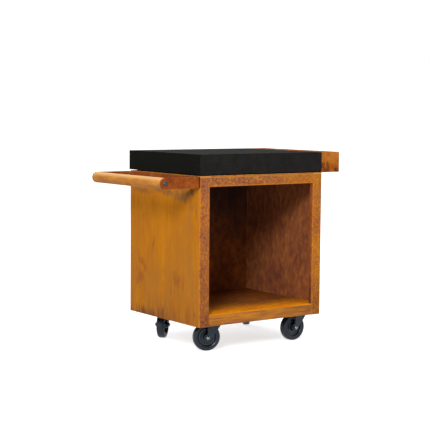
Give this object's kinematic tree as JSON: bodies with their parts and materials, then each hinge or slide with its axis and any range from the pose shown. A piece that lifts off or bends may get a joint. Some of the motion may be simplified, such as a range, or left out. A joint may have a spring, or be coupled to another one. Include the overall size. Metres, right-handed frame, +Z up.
{
  "type": "outdoor prep table",
  "caption": "Outdoor prep table: open weathering steel cabinet on swivel casters, thick black stone worktop, wooden push bar at one end and a steel herb box at the other.",
  "frame": {"origin": "on the floor, under the middle of the whole length and depth", "axes": "+X from the push bar to the herb box, +Y from the open front to the rear, +Z up"},
  "size_m": [1.0139, 0.5999, 0.895],
  "materials": {
    "weathering_steel": "matte",
    "weathered_flat_bar": "matte",
    "weathered_channel": "matte",
    "rivet_steel": "matte",
    "black_stone": "matte",
    "core_wood": "matte",
    "black_spacer": "matte",
    "oiled_wood": "satin",
    "dark_bolt_steel": "satin",
    "zinc_steel": "satin",
    "black_caster_steel": "satin",
    "bearing_steel": "polished",
    "black_wheel_plastic": "satin",
    "black_tyre_rubber": "matte"
  },
  "bodies": {
    "cart": {"left_side_panel": "weathering_steel", "right_side_panel": "weathering_steel", "rear_panel": "weathering_steel", "front_header": "weathering_steel", "floor_pan": "weathering_steel", "roof_plate": "weathering_steel", "box_floor": "weathering_steel", "box_inner_wall": "weathering_steel", "box_outer_wall": "weathering_steel", "box_front_end": "weathering_steel", "box_rear_end": "weathering_steel", "handle_bracket": "weathered_flat_bar", "front_caster_rail": "weathered_channel", "rear_caster_rail": "weathered_channel", "rear_rivets": "rivet_steel", "top_panel": "black_stone", "front_edge_panel": "black_stone", "rear_edge_panel": "black_stone", "left_edge_panel": "black_stone", "right_edge_panel": "black_stone", "core_board": "core_wood", "core_frame": "core_wood", "spacer_strips": "black_spacer", "handle_bar": "oiled_wood", "handle_end_bolts": "dark_bolt_steel", "bracket_bolts": "dark_bolt_steel", "handle_inserts": "zinc_steel", "bracket_nuts": "zinc_steel", "worktop_screws": "zinc_steel", "tongue_screws": "zinc_steel", "plate_bolts": "zinc_steel", "plate_nuts": "zinc_steel", "king_bolts": "zinc_steel", "caster_plates": "black_caster_steel"},
    "front_left_caster": {"front_left_fork": "black_caster_steel", "front_left_balls": "bearing_steel", "front_left_axle": "zinc_steel", "front_left_sleeve": "bearing_steel"},
    "front_left_wheel_set": {"front_left_wheel": "black_wheel_plastic", "front_left_tyre": "black_tyre_rubber"},
    "front_right_caster": {"front_right_fork": "black_caster_steel", "front_right_balls": "bearing_steel", "front_right_axle": "zinc_steel", "front_right_sleeve": "bearing_steel"},
    "front_right_wheel_set": {"front_right_wheel": "black_wheel_plastic", "front_right_tyre": "black_tyre_rubber"},
    "rear_left_caster": {"rear_left_fork": "black_caster_steel", "rear_left_balls": "bearing_steel", "rear_left_axle": "zinc_steel", "rear_left_sleeve": "bearing_steel"},
    "rear_left_wheel_set": {"rear_left_wheel": "black_wheel_plastic", "rear_left_tyre": "black_tyre_rubber"},
    "rear_right_caster": {"rear_right_fork": "black_caster_steel", "rear_right_balls": "bearing_steel", "rear_right_axle": "zinc_steel", "rear_right_sleeve": "bearing_steel"},
    "rear_right_wheel_set": {"rear_right_wheel": "black_wheel_plastic", "rear_right_tyre": "black_tyre_rubber"}
  },
  "joints": [
    {"name": "front_left_swivel", "type": "hinge", "parent": "cart", "child": "front_left_caster", "pos_m": [-0.152, -0.21, 0.138], "axis": [0, 0, 1], "continuous": true},
    {"name": "front_left_roll", "type": "hinge", "parent": "front_left_caster", "child": "front_left_wheel_set", "pos_m": [-0.1936, -0.19567, 0.0625], "axis": [-0.3256, -0.9455, 0], "continuous": true},
    {"name": "front_right_swivel", "type": "hinge", "parent": "cart", "child": "front_right_caster", "pos_m": [0.342, -0.21, 0.138], "axis": [0, 0, 1], "continuous": true},
    {"name": "front_right_roll", "type": "hinge", "parent": "front_right_caster", "child": "front_right_wheel_set", "pos_m": [0.29801, -0.20923, 0.0625], "axis": [-0.0175, -0.9998, 0], "continuous": true},
    {"name": "rear_left_swivel", "type": "hinge", "parent": "cart", "child": "rear_left_caster", "pos_m": [-0.152, 0.21, 0.138], "axis": [0, 0, 1], "continuous": true},
    {"name": "rear_left_roll", "type": "hinge", "parent": "rear_left_caster", "child": "rear_left_wheel_set", "pos_m": [-0.18365, 0.17944, 0.0625], "axis": [0.6947, -0.7193, 0], "continuous": true},
    {"name": "rear_right_swivel", "type": "hinge", "parent": "cart", "child": "rear_right_caster", "pos_m": [0.342, 0.21, 0.138], "axis": [0, 0, 1], "continuous": true},
    {"name": "rear_right_roll", "type": "hinge", "parent": "rear_right_caster", "child": "rear_right_wheel_set", "pos_m": [0.36786, 0.2456, 0.0625], "axis": [-0.809, 0.5878, 0], "continuous": true}
  ]
}
